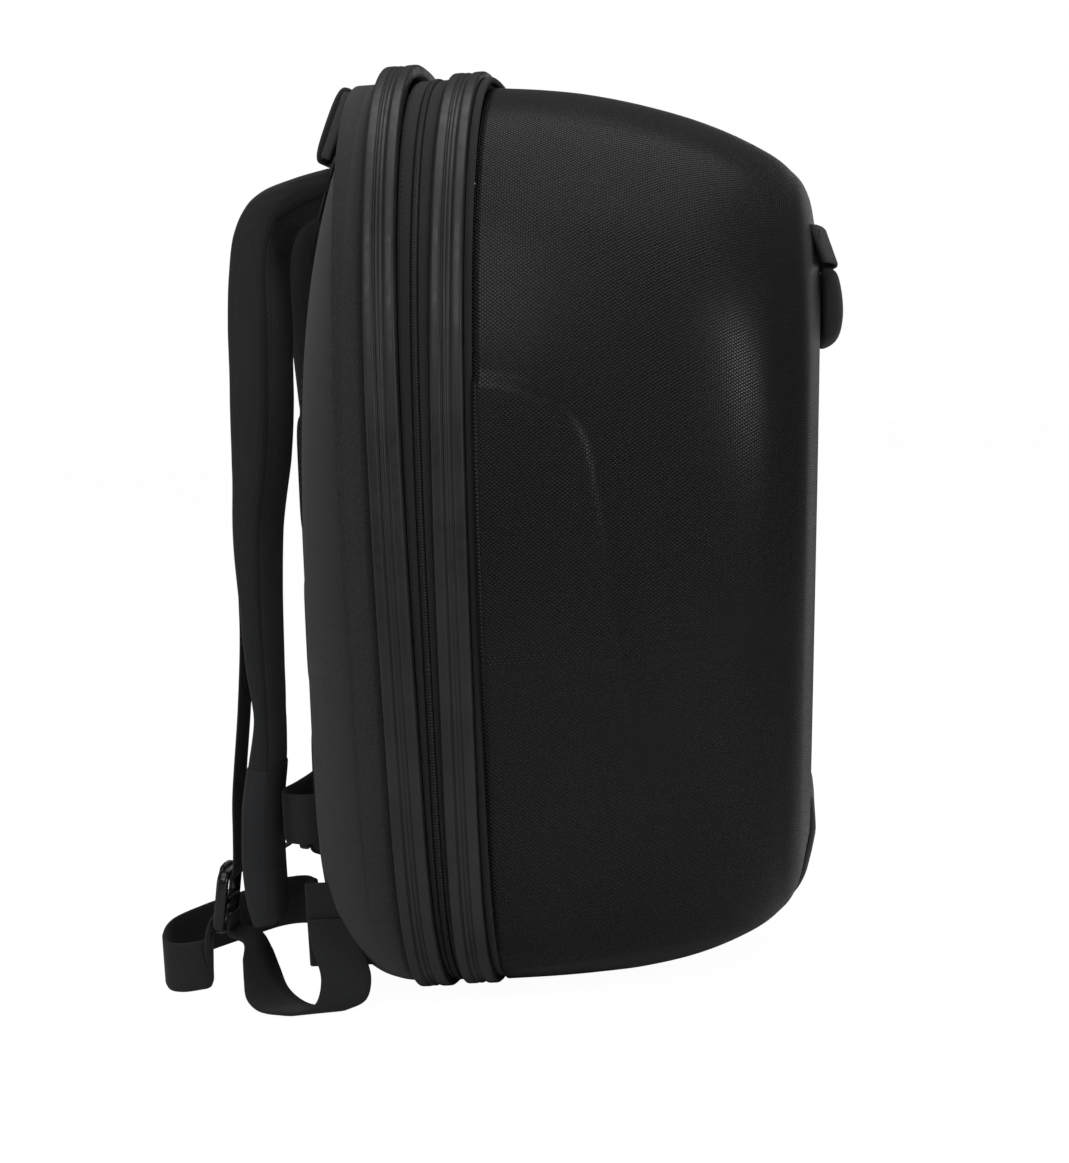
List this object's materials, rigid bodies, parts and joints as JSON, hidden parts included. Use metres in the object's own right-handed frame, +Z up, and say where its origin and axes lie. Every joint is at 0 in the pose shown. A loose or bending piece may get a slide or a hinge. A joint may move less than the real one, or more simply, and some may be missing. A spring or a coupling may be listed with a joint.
{
  "type": "hard shell backpack",
  "caption": "Upright hard shell backpack with ribbed zip rims, a fabric base, an air-mesh harness, webbing adjusters and carry handles.",
  "frame": {"origin": "on the floor under the middle of the pack's bounding box", "axes": "+Z up, -Y toward the hard shell, +Y toward the wearer, -X the wearer's left"},
  "size_m": [0.3476, 0.3632, 0.4731],
  "materials": {
    "shell_plastic": "black moulded shell with a fine raised diagonal weave, satin gloss",
    "rim_plastic": "ribbed dark grey trim, satin",
    "base_fabric": "charcoal woven nylon, fine speckle",
    "zip_fabric": "black zip tape and binding",
    "air_mesh": "blue-black spacer mesh with small hexagonal cells",
    "sleeve_fabric": "smooth blue-black fabric sleeve",
    "webbing": "black ribbed webbing",
    "grip_fabric": "padded dark fabric",
    "lock_plastic": "black moulded plastic, glossy",
    "foot_rubber": "black, smooth",
    "slider_metal": "black painted zip slider"
  },
  "bodies": {
    "root": {"adjuster_tail_left": "webbing", "adjuster_tail_right": "webbing", "adjuster_webbing_left": "webbing", "adjuster_webbing_right": "webbing", "anchor_tab_left": "grip_fabric", "anchor_tab_right": "grip_fabric", "back_pad_left_1": "air_mesh", "back_pad_left_2": "air_mesh", "back_pad_left_3": "air_mesh", "back_pad_right_1": "air_mesh", "back_pad_right_2": "air_mesh", "back_pad_right_3": "air_mesh", "back_panel": "air_mesh", "base_shell": "base_fabric", "belt_buckle": "lock_plastic", "carry_grip": "grip_fabric", "carry_strap": "webbing", "front_foot": "foot_rubber", "front_grip": "grip_fabric", "front_shell": "shell_plastic", "front_strap": "webbing", "harness_yoke": "grip_fabric", "ladder_lock_left": "lock_plastic", "ladder_lock_right": "lock_plastic", "rim_front": "rim_plastic", "rim_rear": "rim_plastic", "shell_binding": "zip_fabric", "shoulder_strap_left": "air_mesh", "shoulder_strap_right": "air_mesh", "strap_sleeve_left": "sleeve_fabric", "strap_sleeve_right": "sleeve_fabric", "strap_webbing_left": "webbing", "strap_webbing_right": "webbing", "waist_belt_left": "webbing", "waist_belt_right": "webbing", "zip_chain": "zip_fabric", "zip_slider_1": "slider_metal", "zip_slider_2": "slider_metal", "zip_tape_front": "zip_fabric", "zip_tape_rear": "zip_fabric"}
  },
  "joints": []
}
